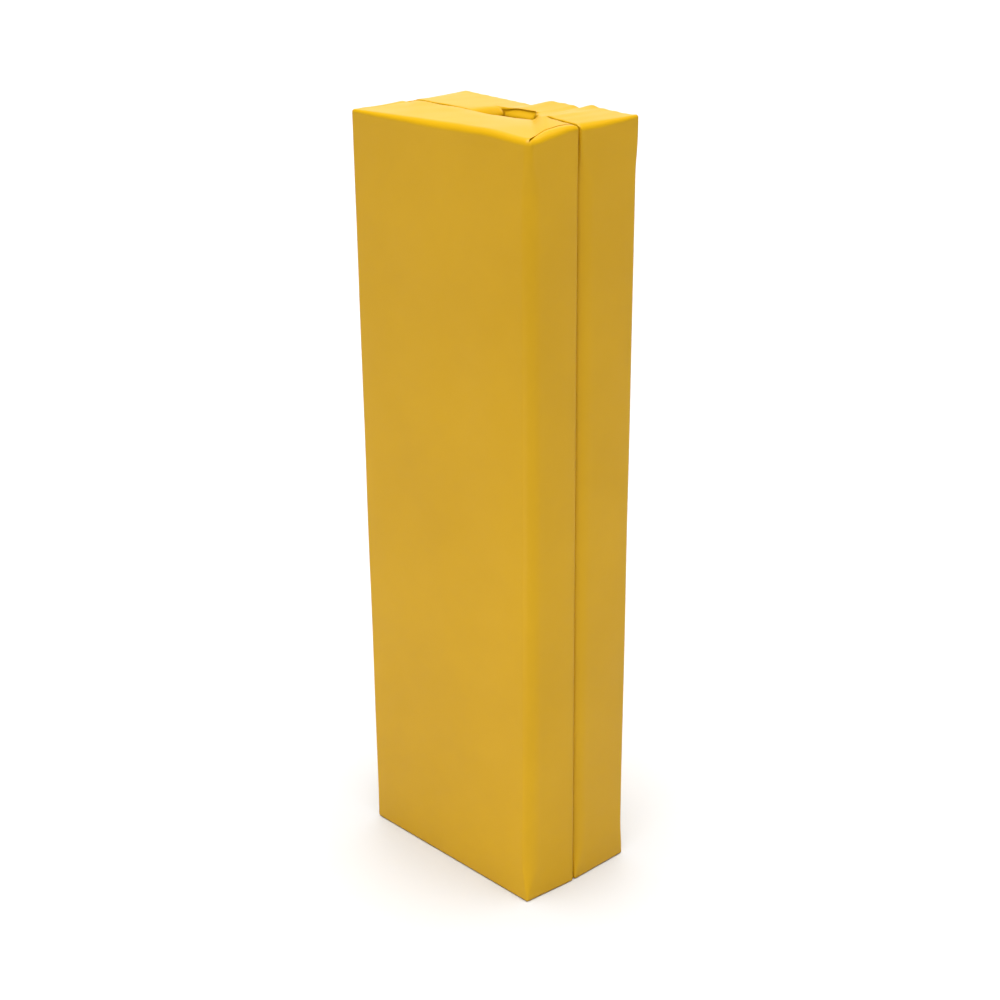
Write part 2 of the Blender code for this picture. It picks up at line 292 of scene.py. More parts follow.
def front_cover(points):
    """Moves points of the front half's box to where its soft cover lies."""
    x, y, z = points.T
    is_right = x > 0
    is_front = y < (FRONT_Y + FRONT_MATING_Y) / 2
    plan_reach = []
    for axis in range(2):
        front_edge = np.where(is_right, NEAR_EDGE[axis], FRONT_LEFT_EDGE[axis])
        slit_edge = np.where(is_right, FRONT_SLIT_EDGE[axis], HINGE_SLIT_EDGE[axis])
        plan_reach.append(np.where(is_front, front_edge, slit_edge))
    roll_x = np.where(is_right, through(FRONT_RIGHT_ROLL, y), FRONT_LEFT_ROLL)
    roll_y = np.where(is_front, through(FRONT_TOP_ROLL, x), FRONT_SLIT_ROLL)
    reach_x, reach_y = edge_reaches(points, plan_reach, (roll_x, roll_y))
    reach_z = vertical_reach(points, FRONT_BOX, reach_x, reach_y)
    moved = rounded_box(points, FRONT_BOX, (reach_x, reach_y, reach_z))

    depth = np.clip((FRONT_MATING_Y - y) / (FRONT_MATING_Y - FRONT_Y), 0.0, 1.0)
    right = smooth_step(HALF_WIDTH - SIDE_REACH, HALF_WIDTH, x)
    up = swell(z, 0.0, HEIGHT)
    moved[:, 1] -= FRONT_CROWN * swell(x, -HALF_WIDTH, HALF_WIDTH) * up * depth
    moved[:, 1] += ripple(FRONT_WAVES, x, z * WALL_STRETCH) * up * depth
    moved[:, 0] += SIDE_CROWN * swell(y, FRONT_Y, FRONT_MATING_Y) * up * right
    moved[:, 0] += side_lean(y, z) * right
    foot = 1.0 - smooth_step(0.0, NEAR_FOOT_RISE, z)
    moved[:, 0] -= NEAR_FOOT_TUCK * foot * right * smooth_step(FRONT_MATING_Y, FRONT_Y, y)

    height = through(FRONT_SLIT_HEIGHTS, x + PUCKER_SLANT * (y - FRONT_MATING_Y))
    height = height * (1.0 - depth) ** FRONT_HEIGHT_FALL
    crown = TOP_CROWN * swell(x, -HALF_WIDTH, HALF_WIDTH) * swell(y, FRONT_Y, FRONT_MATING_Y)
    height = height + crown + ripple(TOP_WAVES, x, y) * (1.0 - depth)
    near_corner = smooth_step(HALF_WIDTH / 2, HALF_WIDTH, x) * smooth_step(*NEAR_CORNER_SPAN, depth)
    height = height - NEAR_CORNER_DROP * near_corner
    moved[:, 2] += height * smooth_step(HEIGHT - TOP_FADE, HEIGHT, z)
    return moved


def channel_rim(points, moved):
    """Rolls the rim of the post channel, and rounds the vertical edges of its mouth."""
    x, y, z = points.T
    middle = (CHANNEL_LEFT_X + CHANNEL_RIGHT_X) / 2
    is_left = x < middle
    beside = np.where(is_left, CHANNEL_LEFT_X - x, x - CHANNEL_RIGHT_X)
    behind = y - CHANNEL_BACK_Y
    side_roll = np.where(is_left, CHANNEL_LEFT_ROLL, CHANNEL_RIGHT_ROLL)
    near_side = nearness(np.maximum(beside, 0.0), side_roll)
    near_back = nearness(np.maximum(behind, 0.0), CHANNEL_BACK_ROLL)
    side_share = near_side * nearness(np.maximum(-beside, 0.0), RIM_TAIL)
    back_share = near_back * nearness(np.maximum(-behind, 0.0), RIM_TAIL)
    both = side_share + back_share + TINY * MM
    roll = (side_roll * side_share + CHANNEL_BACK_ROLL * back_share) / both
    roll = np.maximum(roll, LEAST_RIM_ROLL)
    near_top = nearness(HEIGHT - z, roll)
    drawn = 1.0 - np.sqrt(1.0 - near_top ** 2 / 2)
    away = np.where(is_left, -1.0, 1.0)
    moved[:, 0] += away * side_roll * side_share * near_back * drawn
    moved[:, 1] += CHANNEL_BACK_ROLL * back_share * near_side * drawn
    close = near_side * near_back
    moved[:, 2] -= roll * near_top * (1.0 - np.sqrt(1.0 - close ** 2 / 2))

    reach = CHANNEL_MOUTH_ROUNDING
    near_mouth = nearness(np.abs(beside), reach) * (beside >= -TINY) * (behind <= 0)
    near_mating = nearness(y - REAR_MATING_Y, reach)
    moved[:, 0] += away * reach * near_mouth * (1.0 - np.sqrt(1.0 - near_mating ** 2 / 2))
    moved[:, 1] += reach * near_mating * (1.0 - np.sqrt(1.0 - near_mouth ** 2 / 2))


def channel_mouth(points, moved):
    """The soft top of the channel: a slanting corner, a sunken cheek and a full back wall."""
    x, y, z = points.T
    corner = nearness(np.abs(x - CHANNEL_RIGHT_X), MOUTH_CORNER)
    corner = corner * nearness(np.abs(y - CHANNEL_BACK_Y), MOUTH_CORNER)
    corner = corner * smooth_step(HEIGHT - MOUTH_CORNER_FADE, HEIGHT - MOUTH_CORNER_FADE / 4, z)
    moved[:, 0] -= MOUTH_CORNER / 2 * corner
    moved[:, 1] -= MOUTH_CORNER / 2 * corner

    at_top = smooth_step(HEIGHT - TOP_FADE, HEIGHT, z)
    across = x + MOUTH_SINK_SLANT * (y - CHANNEL_BACK_Y)
    sunken = 1.0 - smooth_step(MOUTH_SINK_EDGE - MOUTH_SINK_BLEND[0],
                               MOUTH_SINK_EDGE + MOUTH_SINK_BLEND[1], across)
    sunken = sunken * smooth_step(CHANNEL_RIGHT_X - MOUTH_SINK_START, CHANNEL_RIGHT_X, x)
    depth = np.clip((y - REAR_MATING_Y) / (CHANNEL_DEPTH - MOUTH_CORNER), 0.0, 1.0)
    moved[:, 2] -= mix(MOUTH_SINK[0], MOUTH_SINK[1], depth) * sunken * at_top

    on_back_wall = nearness(np.abs(y - CHANNEL_BACK_Y), BACK_WALL_BAND)
    inside = swell(x, CHANNEL_LEFT_X, CHANNEL_RIGHT_X)
    moved[:, 1] += through(BACK_WALL_PROFILE, HEIGHT - z) * on_back_wall * inside


def rear_cover(points):
    """Moves points of the rear half's box to where its soft cover lies."""
    x, y, z = points.T
    is_right = x > 0
    is_back = y > (REAR_MATING_Y + BACK_Y) / 2
    plan_reach = []
    for axis in range(2):
        slit_edge = np.where(is_right, REAR_SLIT_EDGE[axis], HINGE_SLIT_EDGE[axis])
        plan_reach.append(np.where(is_back, REAR_OUTER_EDGE[axis], slit_edge))
    roll_x = np.where(is_right, through(REAR_RIGHT_ROLL, y), REAR_LEFT_ROLL)
    roll_y = np.where(is_back, REAR_BACK_ROLL, REAR_SLIT_ROLL)
    reach_x, reach_y = edge_reaches(points, plan_reach, (roll_x, roll_y))
    reach_z = vertical_reach(points, REAR_BOX, reach_x, reach_y)
    moved = rounded_box(points, REAR_BOX, (reach_x, reach_y, reach_z))
    channel_rim(points, moved)
    channel_mouth(points, moved)

    depth = np.clip((y - REAR_MATING_Y) / (BACK_Y - REAR_MATING_Y), 0.0, 1.0)
    behind = smooth_step(CHANNEL_BACK_Y, BACK_Y, y)
    right = smooth_step(HALF_WIDTH - SIDE_REACH, HALF_WIDTH, x)
    up = swell(z, 0.0, HEIGHT)
    moved[:, 1] += BACK_CROWN * swell(x, -HALF_WIDTH, HALF_WIDTH) * up * behind
    moved[:, 1] += ripple(BACK_WAVES, x, z * WALL_STRETCH) * up * behind
    moved[:, 0] += SIDE_CROWN * swell(y, REAR_MATING_Y, BACK_Y) * up * right
    moved[:, 0] += side_lean(y, z) * right
    foot = (1.0 - smooth_step(0.0, REAR_FOOT_RISE, z)) * depth * right
    moved[:, 0] += REAR_FOOT_SHIFT * foot
    moved[:, 1] -= REAR_FOOT_SHIFT * foot

    at_slit = through(REAR_SLIT_HEIGHTS, x)
    at_edge = through(REAR_EDGE_HEIGHTS, x)
    height = mix(at_slit, at_edge, depth ** REAR_HEIGHT_BLEND)
    puckers = ripple(PUCKERS, x, y * PUCKER_STRETCH)
    height = height + puckers * smooth_step(BACK_Y - PUCKER_REACH, BACK_Y, y)
    moved[:, 2] += height * smooth_step(HEIGHT - TOP_FADE, HEIGHT, z)
    gather = smooth_step(HEIGHT - GATHER_REACH, HEIGHT, z) * behind
    gather = gather * swell(x, -HALF_WIDTH, HALF_WIDTH)
    moved[:, 1] += ripple(GATHERS, x, z * GATHER_STRETCH) * gather
    return moved


# ---------------------------------------------------------------- sheets

X_LINES = graded(-HALF_WIDTH, HALF_WIDTH, coarse=3.5 * MM, fine=1.2 * MM,
                 start_reach=6 * MM, stop_reach=20 * MM)
FRONT_Y_LINES = graded(FRONT_Y, FRONT_MATING_Y, coarse=5 * MM, fine=1.2 * MM,
                       start_reach=21 * MM, stop_reach=4 * MM)
REAR_Y_LINES = np.concatenate([
    graded(REAR_MATING_Y, CHANNEL_BACK_Y, coarse=4 * MM, fine=1 * MM,
           start_reach=6 * MM, stop_reach=4 * MM),
    graded(CHANNEL_BACK_Y, BACK_Y, coarse=4 * MM, fine=1 * MM,
           start_reach=8 * MM, stop_reach=10 * MM)[1:],
])
REAR_X_LINES = np.concatenate([
    graded(-HALF_WIDTH, CHANNEL_LEFT_X, coarse=4 * MM, fine=1.2 * MM,
           start_reach=8 * MM, stop_reach=15 * MM),
    graded(CHANNEL_LEFT_X, CHANNEL_RIGHT_X, coarse=4 * MM, fine=1.2 * MM,
           start_reach=6 * MM, stop_reach=6 * MM)[1:],
    graded(CHANNEL_RIGHT_X, HALF_WIDTH, coarse=4 * MM, fine=1.2 * MM,
           start_reach=9 * MM, stop_reach=12 * MM)[1:],
])
Z_LINES = graded(0.0, HEIGHT, coarse=9 * MM, fine=1.3 * MM,
                 start_reach=4 * MM, stop_reach=26 * MM)
FLAP_CELLS = 79
GUSSET_CELLS = 15


def grid_mesh(name, grid, kept=None):
    """A mesh of the quads between a grid's points, without the cells that aren't kept."""
    rows, columns = grid.shape[:2]
    faces = []
    for i in range(rows - 1):
        for j in range(columns - 1):
            if kept is None or kept[i, j]:
                a = i * columns + j
                faces.append((a, a + columns, a + columns + 1, a + 1))
    mesh = bpy.data.meshes.new(name)
    mesh.from_pydata(grid.reshape(-1, 3).tolist(), [], faces)
    mesh.shade_smooth()
    bm = bmesh.new()
    bm.from_mesh(mesh)
    unused = [vertex for vertex in bm.verts if not vertex.link_faces]
    bmesh.ops.delete(bm, geom=unused, context="VERTS")
    for edge in bm.edges:
        edge.smooth = not edge.is_boundary
    bm.to_mesh(mesh)
    bm.free()
    obj = bpy.data.objects.new(name, mesh)
    bpy.context.scene.collection.objects.link(obj)
    return obj


def laid_out(first, second, place):
    """A grid of box points: place gives (x, y, z) for each pair of coordinates."""
    a, b = np.meshgrid(first, second, indexing="ij")
    x, y, z = place(a, b)
    return np.stack([x + 0 * a, y + 0 * a, z + 0 * a], axis=2)


def shaped(grid, cover):
    """A grid of box points, moved to where a cover lies."""
    return cover(grid.reshape(-1, 3)).reshape(grid.shape)


def along(path):
    """A wall of box points that stands on a path in plan, from the floor to the top."""
    path = np.array(path)
    index = np.arange(len(path))
    return laid_out(index, Z_LINES, lambda i, z: (path[i.astype(int), 0], path[i.astype(int), 1], z))


def plan_path(runs):
    """Joins straight runs in plan, each a list of (x, y), without repeating their shared ends."""
    path = []
    for run in runs:
        path += run if not path else run[1:]
    return path


def run_x(lines, y):
    """A straight run across the object."""
    return [(x, y) for x in lines]


def run_y(x, lines):
    """A straight run from front to back."""
    return [(x, y) for y in lines]


def thicken(obj, thickness=VINYL):
    """Gives an outer surface its sheet's thickness, inwards."""
    solidify = obj.modifiers.new("thickness", "SOLIDIFY")
    solidify.thickness = thickness
    solidify.offset = -1.0
    return obj


def vinyl_piece(node, grid, cover, body, material, kept=None):
    """One sheet of the cover: shaped, thickened, painted, named after its CAD node, whose part it
    hides.
    """
    obj = thicken(grid_mesh("soft_" + node, shaped(grid, cover), kept))
    obj.data.materials.append(material)
    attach(obj, body)
    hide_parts(node)


def seam_x(y):
    """Where the seam between the front half's flap and gusset runs, as a distance from the middle."""
    swing = np.clip((SEAM_BEND_Y - y) / (SEAM_BEND_Y - FRONT_Y), 0.0, 1.0)
    return HALF_WIDTH - SEAM_INSET * (1.0 - swing ** SEAM_SWING)


def front_flap(material):
    """The broad flap of the folded end, with finer cells towards its seams."""
    even = np.linspace(0.0, 1.0, FLAP_CELLS + 1)
    crowded = 0.5 - 0.5 * np.cos(math.pi * even)
    share = 0.5 * (crowded + even)
    grid = laid_out(share, FRONT_Y_LINES, lambda s, y: (mix(-seam_x(y), seam_x(y), s), y, HEIGHT))
    vinyl_piece("front_top_panel", grid, front_cover, "front_half", material)


def front_gusset(side, material):
    """The narrow strip folded in beside the flap, on the left (side -1) or the right (side 1)."""
    def lowered(points):
        """The front cover's shape, with the gusset dropped below the flap along their seam."""
        moved = front_cover(points)
        x, y = points[:, 0], points[:, 1]
        corner = smooth_step(FRONT_Y + CORNER_DROP_SPAN[1], FRONT_Y + CORNER_DROP_SPAN[0], y)
        drop = mix(SEAM_DROP_SLIT, SEAM_DROP_CORNER, corner)
        from_seam = side * x - seam_x(y)
        from_side = HALF_WIDTH - side * x
        drop = drop * (1.0 - smooth_step(*DROP_BLEND, from_seam))
        drop = drop * smooth_step(0.0, DROP_SIDE_FADE, from_side)
        drop = drop * smooth_step(0.0, DROP_FRONT_FADE, y - FRONT_Y)
        moved[:, 2] -= drop
        return moved

    def place(share, y):
        """A box point that lies a share of the way across the gusset, from left to right."""
        seam_end = side * (seam_x(y) - SEAM_UNDERLAP)
        side_end = side * HALF_WIDTH
        if side > 0:
            return mix(seam_end, side_end, share), y, HEIGHT
        return mix(side_end, seam_end, share), y, HEIGHT

    grid = laid_out(np.linspace(0.0, 1.0, GUSSET_CELLS + 1), FRONT_Y_LINES, place)
    name = "front_top_right_gusset" if side > 0 else "front_top_left_gusset"
    vinyl_piece(name, grid, lowered, "front_half", material)


def front_pieces(vinyl):
    """The front half's cover: its wrap, inner face, folded top and bottom."""
    wall = plan_path([
        run_y(-HALF_WIDTH, FRONT_Y_LINES[::-1]),
        run_x(X_LINES, FRONT_Y),
        run_y(HALF_WIDTH, FRONT_Y_LINES),
    ])
    vinyl_piece("front_cover_wrap", along(wall), front_cover, "front_half", vinyl)
    mating = along(run_x(X_LINES[::-1], FRONT_MATING_Y))
    vinyl_piece("front_mating_panel", mating, front_cover, "front_half", vinyl)
    front_flap(vinyl)
    front_gusset(-1, vinyl)
    front_gusset(1, vinyl)
    base = laid_out(X_LINES, FRONT_Y_LINES[::-1], lambda x, y: (x, y, 0.0))
    vinyl_piece("front_bottom_panel", base, front_cover, "front_half", vinyl)


def outside_channel(x_lines, y_lines):
    """Which cells of a plan grid lie outside the post channel."""
    x = (x_lines[1:] + x_lines[:-1]) / 2
    y = (y_lines[1:] + y_lines[:-1]) / 2
    inside_x = (x > CHANNEL_LEFT_X) & (x < CHANNEL_RIGHT_X)
    inside_y = (y > REAR_MATING_Y) & (y < CHANNEL_BACK_Y)
    return ~(inside_x[:, None] & inside_y[None, :])


def lines_between(lines, low, high):
    """Those of a grid's lines that lie from low to high."""
    return lines[(lines >= low - TINY) & (lines <= high + TINY)]


def rear_pieces(vinyl):
    """The rear half's cover: its wrap, two inner faces, channel liner and notched ends."""
    left_x = lines_between(REAR_X_LINES, -HALF_WIDTH, CHANNEL_LEFT_X)
    mouth_x = lines_between(REAR_X_LINES, CHANNEL_LEFT_X, CHANNEL_RIGHT_X)
    right_x = lines_between(REAR_X_LINES, CHANNEL_RIGHT_X, HALF_WIDTH)
    channel_y = lines_between(REAR_Y_LINES, REAR_MATING_Y, CHANNEL_BACK_Y)
    wall = plan_path([
        run_y(HALF_WIDTH, REAR_Y_LINES),
        run_x(REAR_X_LINES[::-1], BACK_Y),
        run_y(-HALF_WIDTH, REAR_Y_LINES[::-1]),
    ])
    vinyl_piece("rear_cover_wrap", along(wall), rear_cover, "rear_half", vinyl)
    vinyl_piece("rear_left_mating_panel", along(run_x(left_x, REAR_MATING_Y)), rear_cover,
                "rear_half", vinyl)
    vinyl_piece("rear_right_mating_panel", along(run_x(right_x, REAR_MATING_Y)), rear_cover,
                "rear_half", vinyl)
    liner = plan_path([
        run_y(CHANNEL_LEFT_X, channel_y),
        run_x(mouth_x, CHANNEL_BACK_Y),
        run_y(CHANNEL_RIGHT_X, channel_y[::-1]),
    ])
    vinyl_piece("channel_liner", along(liner), rear_cover, "rear_half", vinyl)
    top = laid_out(REAR_X_LINES, REAR_Y_LINES, lambda x, y: (x, y, HEIGHT))
    vinyl_piece("rear_top_panel", top, rear_cover, "rear_half", vinyl,
                kept=outside_channel(REAR_X_LINES, REAR_Y_LINES))
    base = laid_out(REAR_X_LINES, REAR_Y_LINES[::-1], lambda x, y: (x, y, 0.0))
    vinyl_piece("rear_bottom_panel", base, rear_cover, "rear_half", vinyl,
                kept=outside_channel(REAR_X_LINES, REAR_Y_LINES[::-1]))


# ---------------------------------------------------------------- foam

FOAM_INSET = 3.5 * MM               # the foam lies this far inside the CAD box
FOAM_CELL = 12 * MM
FOAM_BEVEL = 3 * MM
BEVEL_STEPS = 2
MERGE_GAP = 0.1 * MM


def mesh_object(name, mesh, material):
    """A new object in the scene, with its mesh and material."""
    mesh.materials.append(material)
    obj = bpy.data.objects.new(name, mesh)
    bpy.context.scene.collection.objects.link(obj)
    return obj


def soften_edges(obj, name, width):
    """Bevels an object's sharp edges."""
    bevel = obj.modifiers.new(name, "BEVEL")
    bevel.width = width
    bevel.segments = BEVEL_STEPS
    bevel.limit_method = "ANGLE"


def closed_box(name, low, high, step):
    """A mesh of a closed box with its sides cut into cells about a step wide."""
    counts = [max(3, round((high[k] - low[k]) / step) + 1) for k in range(3)]
    lines = [np.linspace(low[k], high[k], counts[k]) for k in range(3)]
    bm = bmesh.new()
    for axis in range(3):
        first, second = [k for k in range(3) if k != axis]
        for place, is_high in ((low[axis], False), (high[axis], True)):
            rows = []
            for a in lines[first]:
                row = []
                for b in lines[second]:
                    point = [0.0, 0.0, 0.0]
                    point[axis], point[first], point[second] = place, a, b
                    row.append(bm.verts.new(point))
                rows.append(row)
            for i in range(len(rows) - 1):
                for j in range(len(rows[0]) - 1):
                    bm.faces.new((rows[i][j], rows[i + 1][j], rows[i + 1][j + 1], rows[i][j + 1]))
    bmesh.ops.remove_doubles(bm, verts=bm.verts, dist=MERGE_GAP)
    bmesh.ops.recalc_face_normals(bm, faces=bm.faces)
    mesh = bpy.data.meshes.new(name)
    bm.to_mesh(mesh)
    bm.free()
    mesh.shade_smooth()
    return mesh


def foam_piece(node, low, high, cover, body, material):
    """A foam block: its CAD box, cut into cells, moved with the cover and drawn in from it."""
    low = [place + FOAM_INSET for place in low]
    high = [place - FOAM_INSET for place in high]
    mesh = closed_box("soft_" + node, low, high, FOAM_CELL)
    points = np.array([v.co for v in mesh.vertices])
    mesh.vertices.foreach_set("co", cover(points).astype(np.float32).ravel())
    obj = mesh_object("soft_" + node, mesh, material)
    soften_edges(obj, "soft_edges", FOAM_BEVEL)
    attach(obj, body)
    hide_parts(node)


def foam_pieces(foam):
    """The front half's one foam block and the rear half's three, round the channel."""
    foam_piece("front_foam_core", *FRONT_BOX, front_cover, "front_half", foam)
    slab_low = (-HALF_WIDTH, CHANNEL_BACK_Y, 0.0)
    slab_high = (HALF_WIDTH, BACK_Y, HEIGHT)
    foam_piece("rear_foam_back_slab", slab_low, slab_high, rear_cover, "rear_half", foam)
    left_high = (CHANNEL_LEFT_X, CHANNEL_BACK_Y, HEIGHT)
    foam_piece("rear_foam_left_cheek", REAR_BOX[0], left_high, rear_cover, "rear_half", foam)
    right_low = (CHANNEL_RIGHT_X, REAR_MATING_Y, 0.0)
    right_high = (HALF_WIDTH, CHANNEL_BACK_Y, HEIGHT)
    foam_piece("rear_foam_right_cheek", right_low, right_high, rear_cover, "rear_half", foam)


# ---------------------------------------------------------------- closure and hinge

STITCH_PITCH = 5 * MM
STITCH_LENGTH = 0.72 * STITCH_PITCH
THREAD_RADIUS = 0.35 * MM
THREAD_SIDES = 5
# The rings of one stitch: (place along its length, rise, share of the thread's radius).
STITCH_RINGS = ((-0.5, -0.20 * MM, 0.55), (-0.3, 0.12 * MM, 1.0), (0.0, 0.24 * MM, 1.0),
                (0.3, 0.12 * MM, 1.0), (0.5, -0.20 * MM, 0.55))


def one_stitch(middle, run, out, first):
    """The points and faces of a stitch that dives into the cloth at both ends."""
    across = run.cross(out)
    points, faces = [], []
    for share, rise, width in STITCH_RINGS:
        centre = middle + run * (share * STITCH_LENGTH) + out * rise
        for side in range(THREAD_SIDES):
            angle = 2 * math.pi * side / THREAD_SIDES
            spoke = across * math.cos(angle) + out * math.sin(angle)
            points.append(tuple(centre + spoke * (THREAD_RADIUS * width)))
    last = first + (len(STITCH_RINGS) - 1) * THREAD_SIDES
    for ring in range(first, last, THREAD_SIDES):
        for side in range(THREAD_SIDES):
            a = ring + side
            b = ring + (side + 1) % THREAD_SIDES
            faces.append((a, b, b + THREAD_SIDES, a + THREAD_SIDES))
    faces.append(tuple(first + side for side in reversed(range(THREAD_SIDES))))
    faces.append(tuple(last + side for side in range(THREAD_SIDES)))
    return points, faces


def stitch_row(name, start, stop, out, body, material):
    """A straight row of lock stitches from start to stop, standing a little proud of the cloth."""
    start, stop, out = Vector(start), Vector(stop), Vector(out)
    run = (stop - start).normalized()
    points, faces = [], []
    for k in range(int((stop - start).length / STITCH_PITCH)):
        middle = start + run * (STITCH_PITCH * (k + 0.5))
        new_points, new_faces = one_stitch(middle, run, out, len(points))
        points += new_points
        faces += new_faces
    mesh = bpy.data.meshes.new(name)
    mesh.from_pydata(points, [], faces)
    mesh.shade_smooth()
    obj = mesh_object(name, mesh, material)
    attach(obj, body)


TAPE_CELL = 8 * MM
TAPE_BEVEL = 0.35 * MM
TAPE_SEAM = 3 * MM                  # from the tape's long edges to its stitches
TAPE_STITCH_SINK = 0.25 * MM
ROW_END = 4 * MM                    # the rows of stitches stop this far before the ends


def tape(node, body, face_out, material, thread):
    """One strip of the closure, facing back (face_out 1) or forwards (-1), with two stitch rows."""
    low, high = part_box(node)
    obj = mesh_object("soft_" + node, closed_box("soft_" + node, low, high, TAPE_CELL), material)
    soften_edges(obj, "worn_edges", TAPE_BEVEL)
    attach(obj, body)
    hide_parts(node)
    face_y = high.y if face_out > 0 else low.y
    row_y = face_y - face_out * TAPE_STITCH_SINK
    for label, x in (("inner", low.x + TAPE_SEAM), ("outer", high.x - TAPE_SEAM)):
        stitch_row(f"{node}_{label}_stitches", (x, row_y, low.z + ROW_END),
                   (x, row_y, high.z - ROW_END), (0, face_out, 0), body, thread)


HINGE_FOLD = 2 * MM                 # each side of the slit, the strip has finer cells
HINGE_FOLD_CELLS = 16
HINGE_LEAF_CELLS = 9
HINGE_HEIGHT_CELLS = 119
HINGE_SEAM = 4 * MM                 # from the strip's long edges to its stitches
HINGE_STITCH_SINK = 0.35 * MM


def hinge_strip(vinyl, thread):
    """The sewn vinyl strip that both halves turn on, with a stitch row at each edge."""
    rear_low, rear_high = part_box("hinge_rear_leaf")
    front_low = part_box("hinge_front_leaf")[0]
    outer_x = rear_low.x
    y_lines = np.concatenate([
        np.linspace(rear_high.y, SLIT_Y + HINGE_FOLD, HINGE_LEAF_CELLS + 1)[:-1],
        np.linspace(SLIT_Y + HINGE_FOLD, SLIT_Y - HINGE_FOLD, HINGE_FOLD_CELLS + 1)[:-1],
        np.linspace(SLIT_Y - HINGE_FOLD, front_low.y, HINGE_LEAF_CELLS + 1),
    ])
    z_lines = np.linspace(rear_low.z, rear_high.z, HINGE_HEIGHT_CELLS + 1)
    grid = laid_out(y_lines, z_lines, lambda y, z: (outer_x, y, z))
    obj = thicken(grid_mesh("soft_hinge_strip", grid), rear_high.x - rear_low.x)
    bpy.context.view_layer.objects.active = obj
    obj.select_set(True)
    bpy.ops.object.modifier_apply(modifier="thickness")
    obj.select_set(False)
    obj.data.materials.append(vinyl)
    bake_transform(obj)
    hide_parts("hinge_rear_leaf", "hinge_front_leaf")
    row_x = outer_x + HINGE_STITCH_SINK
    for body, y in (("rear_half", rear_high.y - HINGE_SEAM), ("front_half", front_low.y + HINGE_SEAM)):
        stitch_row(f"hinge_{body}_stitches", (row_x, y, rear_low.z + ROW_END),
                   (row_x, y, rear_high.z - ROW_END), (-1, 0, 0), body, thread)


# ---------------------------------------------------------------- materials

def new_material(name):
    """A material, with its nodes, links, Principled shader and the object's own coordinates."""
    material = bpy.data.materials.new(name)
    material.use_nodes = True
    nodes = material.node_tree.nodes
    place = nodes.new("ShaderNodeTexCoord").outputs["Object"]
    return material, nodes, material.node_tree.links, nodes["Principled BSDF"], place


def noise(nodes, links, place, scale, detail):
    """Soft random patches."""
    texture = nodes.new("ShaderNodeTexNoise")
    texture.inputs["Scale"].default_value = scale
    texture.inputs["Detail"].default_value = detail
    links.new(place, texture.inputs["Vector"])
    return texture.outputs["Fac"]


def cells(nodes, links, place, scale, feature="F1"):
    """The distance to the middle of small irregular cells."""
    texture = nodes.new("ShaderNodeTexVoronoi")
    texture.feature = feature
    texture.inputs["Scale"].default_value = scale
    links.new(place, texture.inputs["Vector"])
    return texture.outputs["Distance"]


def colour_between(nodes, links, factor, first, second, low=0.35, high=0.65):
    """The first colour where the factor is low, and the second where it is high."""
    ramp = nodes.new("ShaderNodeValToRGB")
    ramp.color_ramp.elements[0].position = low
    ramp.color_ramp.elements[0].color = (*first, 1.0)
    ramp.color_ramp.elements[1].position = high
    ramp.color_ramp.elements[1].color = (*second, 1.0)
    links.new(factor, ramp.inputs["Fac"])
    return ramp.outputs["Color"]


def spread(nodes, links, factor, low, high):
    """A factor of 0 to 1, turned into a value from low to high."""
    span = nodes.new("ShaderNodeMapRange")
    span.inputs["To Min"].default_value = low
    span.inputs["To Max"].default_value = high
    links.new(factor, span.inputs["Value"])
    return span.outputs["Result"]


def bump(nodes, links, height, strength, distance, normal=None):
    """A bumpy normal, on top of another one where that is given."""
    node = nodes.new("ShaderNodeBump")
    node.inputs["Strength"].default_value = strength
    node.inputs["Distance"].default_value = distance
    links.new(height, node.inputs["Height"])
    if normal is not None:
        links.new(normal, node.inputs["Normal"])
    return node.outputs["Normal"]


def darker(colour, share):
    """A colour with only a share of its light."""
    return tuple(share * value for value in colour)


def vinyl_material():
    """Satin coated vinyl: a fine grain over slow waves, with faint patches of colour and gloss."""
    material, nodes, links, shader, place = new_material("yellow_vinyl")
    patches = noise(nodes, links, place, scale=5.0, detail=3.0)
    colour = colour_between(nodes, links, patches, VINYL_DEEP, VINYL_YELLOW)
    links.new(colour, shader.inputs["Base Color"])
    handling = noise(nodes, links, place, scale=14.0, detail=4.0)
    links.new(spread(nodes, links, handling, low=0.38, high=0.50), shader.inputs["Roughness"])
    shader.inputs["Specular IOR Level"].default_value = 0.20
    grain = cells(nodes, links, place, scale=900.0, feature="SMOOTH_F1")
    fine = bump(nodes, links, grain, strength=0.25, distance=0.3 * MM)
    waves = noise(nodes, links, place, scale=60.0, detail=3.0)
    normal = bump(nodes, links, waves, strength=0.10, distance=1 * MM, normal=fine)
    links.new(normal, shader.inputs["Normal"])
    return material


def foam_material():
    """Open-cell foam: matt cream with small cells."""
    material, nodes, links, shader, place = new_material("cream_foam")
    patches = noise(nodes, links, place, scale=20.0, detail=4.0)
    colour = colour_between(nodes, links, patches, FOAM_DEEP, FOAM_CREAM)
    links.new(colour, shader.inputs["Base Color"])
    links.new(spread(nodes, links, patches, low=0.88, high=0.98), shader.inputs["Roughness"])
    pores = cells(nodes, links, place, scale=700.0)
    links.new(bump(nodes, links, pores, strength=0.7, distance=1 * MM), shader.inputs["Normal"])
    return material


